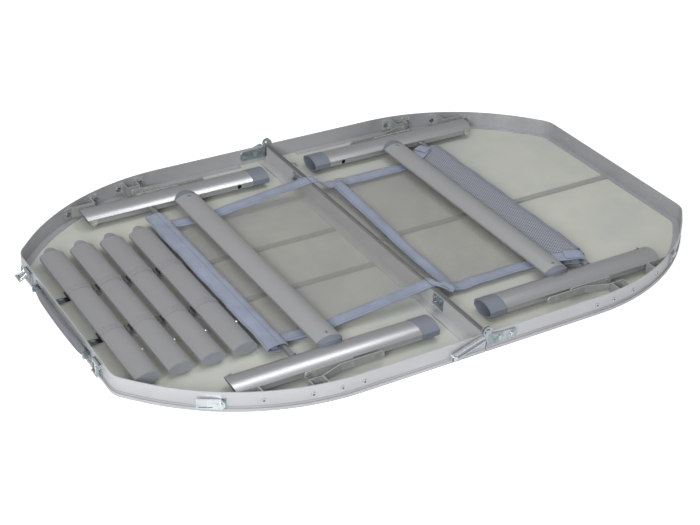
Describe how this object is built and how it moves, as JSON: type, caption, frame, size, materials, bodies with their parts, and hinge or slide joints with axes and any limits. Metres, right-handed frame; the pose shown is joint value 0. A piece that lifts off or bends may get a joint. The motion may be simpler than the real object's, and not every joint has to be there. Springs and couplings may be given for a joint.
{
  "type": "folding table",
  "caption": "Suitcase-style folding camp table shown underside up: hinged rimmed halves, folding leg frames with stays, mesh shelf, clip-in leg extensions, latches and handle.",
  "frame": {"origin": "on the working face at the fold line, midway between the two long sides; the table lies working face down", "axes": "+X along the length away from the carry handle, +Y across, +Z out of the underside"},
  "size_m": [1.2312, 0.7998, 0.05],
  "materials": {
    "black_plastic": "black moulded clip",
    "board": "thin sheet with a beige-grey coat",
    "chrome": "polished",
    "crossbar_aluminium": "darker satin anodised",
    "grey_plastic": "moulded grey plastic",
    "handle_plastic": "grained dark grey strap",
    "net_mesh": "grey open mesh with lavender-grey tape edges",
    "net_tape": "woven lavender-grey tape",
    "painted_steel": "light grey paint",
    "rim_aluminium": "extruded, satin anodised",
    "tube_aluminium": "satin anodised tube",
    "zinc": "bright zinc plate"
  },
  "bodies": {
    "right_half": {"right_board": "board", "right_rim": "rim_aluminium", "right_fold_rail": "rim_aluminium", "right_brackets": "painted_steel", "right_fasteners": "zinc", "centre_rib": "rim_aluminium", "right_hinge_leaves": "zinc", "fold_hook": "zinc", "latch_keepers": "zinc"},
    "left_half": {"left_board": "board", "left_rim": "rim_aluminium", "left_fold_rail": "rim_aluminium", "left_brackets": "painted_steel", "left_fasteners": "zinc", "clip_rails": "rim_aluminium", "tube_clips": "black_plastic", "left_hinge_leaves": "zinc", "fold_catches": "zinc", "left_end_fittings": "zinc"},
    "carry_handle": {"carry_handle": "handle_plastic"},
    "back_latch_lever": {"back_latch_lever": "zinc"},
    "front_latch_lever": {"front_latch_lever": "zinc"},
    "corner_latch_lever": {"corner_latch_lever": "zinc"},
    "back_lock_arm": {"back_lock_arm": "zinc"},
    "front_lock_arm": {"front_lock_arm": "zinc"},
    "left_leg_frame": {"left_back_leg": "tube_aluminium", "left_front_leg": "tube_aluminium", "left_leg_plastics": "grey_plastic", "left_crossbar": "crossbar_aluminium", "left_shelf_rod": "tube_aluminium", "left_leg_rivets": "zinc"},
    "left_leg_links": {"left_leg_links": "painted_steel"},
    "left_rim_links": {"left_rim_links": "painted_steel"},
    "left_net": {"left_net": "net_mesh"},
    "left_net_end": {"left_net_end": "net_mesh"},
    "left_net_hem": {"left_net_hem": "net_tape"},
    "right_leg_frame": {"right_back_leg": "tube_aluminium", "right_front_leg": "tube_aluminium", "right_leg_plastics": "grey_plastic", "right_crossbar": "crossbar_aluminium", "right_shelf_rod": "tube_aluminium", "right_leg_rivets": "zinc"},
    "right_leg_links": {"right_leg_links": "painted_steel"},
    "right_rim_links": {"right_rim_links": "painted_steel"},
    "right_net": {"right_net": "net_mesh"},
    "right_net_end": {"right_net_end": "net_mesh"},
    "right_net_hem": {"right_net_hem": "net_tape"},
    "extension_1": {"extension_1_tube": "crossbar_aluminium", "extension_1_plugs": "grey_plastic"},
    "extension_1_button": {"extension_1_button": "chrome"},
    "extension_2": {"extension_2_tube": "crossbar_aluminium", "extension_2_plugs": "grey_plastic"},
    "extension_2_button": {"extension_2_button": "chrome"},
    "extension_3": {"extension_3_tube": "crossbar_aluminium", "extension_3_plugs": "grey_plastic"},
    "extension_3_button": {"extension_3_button": "chrome"},
    "extension_4": {"extension_4_tube": "crossbar_aluminium", "extension_4_plugs": "grey_plastic"},
    "extension_4_button": {"extension_4_button": "chrome"}
  },
  "joints": [
    {"name": "fold", "type": "hinge", "parent": "right_half", "child": "left_half", "pos_m": [0, 0, 0.0405], "axis": [0, -1, 0], "range_deg": [-180, 0]},
    {"name": "left_legs", "type": "hinge", "parent": "left_half", "child": "left_leg_frame", "pos_m": [-0.428, 0, 0.02], "axis": [0, -1, 0], "range_deg": [0, 90]},
    {"name": "left_leg_link_turn", "type": "hinge", "parent": "left_leg_frame", "child": "left_leg_links", "pos_m": [-0.313, 0, 0.02], "axis": [0, 1, 0], "range_deg": [0, 135]},
    {"name": "left_rim_link_turn", "type": "hinge", "parent": "left_half", "child": "left_rim_links", "pos_m": [-0.313, 0, 0.02], "axis": [0, -1, 0], "range_deg": [0, 135]},
    {"name": "left_net_lift", "type": "hinge", "parent": "left_half", "child": "left_net", "pos_m": [0, 0, 0.0405], "axis": [0, 1, 0], "range_deg": [0, 16.14]},
    {"name": "left_net_stretch", "type": "slide", "parent": "left_net", "child": "left_net_end", "axis": [-1, 0, 0], "range_m": [0, 0.129]},
    {"name": "left_hem_turn", "type": "hinge", "parent": "left_leg_frame", "child": "left_net_hem", "pos_m": [-0.31, 0, 0.02], "axis": [0, 1, 0], "range_deg": [0, 106.14]},
    {"name": "right_legs", "type": "hinge", "parent": "right_half", "child": "right_leg_frame", "pos_m": [0.428, 0, 0.02], "axis": [0, 1, 0], "range_deg": [0, 90]},
    {"name": "right_leg_link_turn", "type": "hinge", "parent": "right_leg_frame", "child": "right_leg_links", "pos_m": [0.313, 0, 0.02], "axis": [0, -1, 0], "range_deg": [0, 135]},
    {"name": "right_rim_link_turn", "type": "hinge", "parent": "right_half", "child": "right_rim_links", "pos_m": [0.313, 0, 0.02], "axis": [0, 1, 0], "range_deg": [0, 135]},
    {"name": "right_net_lift", "type": "hinge", "parent": "right_half", "child": "right_net", "pos_m": [0, 0, 0.0405], "axis": [0, -1, 0], "range_deg": [0, 16.14]},
    {"name": "right_net_stretch", "type": "slide", "parent": "right_net", "child": "right_net_end", "axis": [1, 0, 0], "range_m": [0, 0.129]},
    {"name": "right_hem_turn", "type": "hinge", "parent": "right_leg_frame", "child": "right_net_hem", "pos_m": [0.31, 0, 0.02], "axis": [0, -1, 0], "range_deg": [0, 106.14]},
    {"name": "extension_1_lift", "type": "slide", "parent": "left_half", "child": "extension_1", "axis": [0, 0, 1], "range_m": [0, 0.06]},
    {"name": "extension_1_press", "type": "slide", "parent": "extension_1", "child": "extension_1_button", "axis": [-1, 0, 0], "range_m": [0, 0.003], "stiffness_N_per_m": 400},
    {"name": "extension_2_lift", "type": "slide", "parent": "left_half", "child": "extension_2", "axis": [0, 0, 1], "range_m": [0, 0.06]},
    {"name": "extension_2_press", "type": "slide", "parent": "extension_2", "child": "extension_2_button", "axis": [-1, 0, 0], "range_m": [0, 0.003], "stiffness_N_per_m": 400},
    {"name": "extension_3_lift", "type": "slide", "parent": "left_half", "child": "extension_3", "axis": [0, 0, 1], "range_m": [0, 0.06]},
    {"name": "extension_3_press", "type": "slide", "parent": "extension_3", "child": "extension_3_button", "axis": [-1, 0, 0], "range_m": [0, 0.003], "stiffness_N_per_m": 400},
    {"name": "extension_4_lift", "type": "slide", "parent": "left_half", "child": "extension_4", "axis": [0, 0, 1], "range_m": [0, 0.06]},
    {"name": "extension_4_press", "type": "slide", "parent": "extension_4", "child": "extension_4_button", "axis": [-1, 0, 0], "range_m": [0, 0.003], "stiffness_N_per_m": 400},
    {"name": "handle_swing", "type": "hinge", "parent": "left_half", "child": "carry_handle", "pos_m": [-0.607, 0, 0.02], "axis": [0, 1, 0], "range_deg": [-25, 25]},
    {"name": "back_latch_turn", "type": "hinge", "parent": "left_half", "child": "back_latch_lever", "pos_m": [-0.605, 0.155, 0.03], "axis": [0, 1, 0], "range_deg": [-55, 60]},
    {"name": "front_latch_turn", "type": "hinge", "parent": "left_half", "child": "front_latch_lever", "pos_m": [-0.605, -0.155, 0.03], "axis": [0, 1, 0], "range_deg": [0, 115]},
    {"name": "corner_latch_turn", "type": "hinge", "parent": "left_half", "child": "corner_latch_lever", "pos_m": [-0.47157, -0.33221, 0.0175], "axis": [0.5132, 0.8583, 0], "range_deg": [0, 90]},
    {"name": "back_lock_turn", "type": "hinge", "parent": "left_half", "child": "back_lock_arm", "pos_m": [-0.068, 0.39, 0.0125], "axis": [0, 1, 0], "range_deg": [0, 20]},
    {"name": "front_lock_turn", "type": "hinge", "parent": "left_half", "child": "front_lock_arm", "pos_m": [-0.068, -0.39, 0.0125], "axis": [0, 1, 0], "range_deg": [0, 20]}
  ],
  "couplings": [
    {"joint": "left_leg_link_turn", "follows": "left_legs", "ratio": 1.5},
    {"joint": "left_rim_link_turn", "follows": "left_legs", "ratio": 1.5},
    {"joint": "left_net_lift", "follows": "left_legs", "ratio": 0.17933},
    {"joint": "left_net_stretch", "follows": "left_legs", "m_per_rad": 0.082123},
    {"joint": "left_hem_turn", "follows": "left_legs", "ratio": 1.1793},
    {"joint": "right_leg_link_turn", "follows": "right_legs", "ratio": 1.5},
    {"joint": "right_rim_link_turn", "follows": "right_legs", "ratio": 1.5},
    {"joint": "right_net_lift", "follows": "right_legs", "ratio": 0.17933},
    {"joint": "right_net_stretch", "follows": "right_legs", "m_per_rad": 0.082123},
    {"joint": "right_hem_turn", "follows": "right_legs", "ratio": 1.1793}
  ]
}
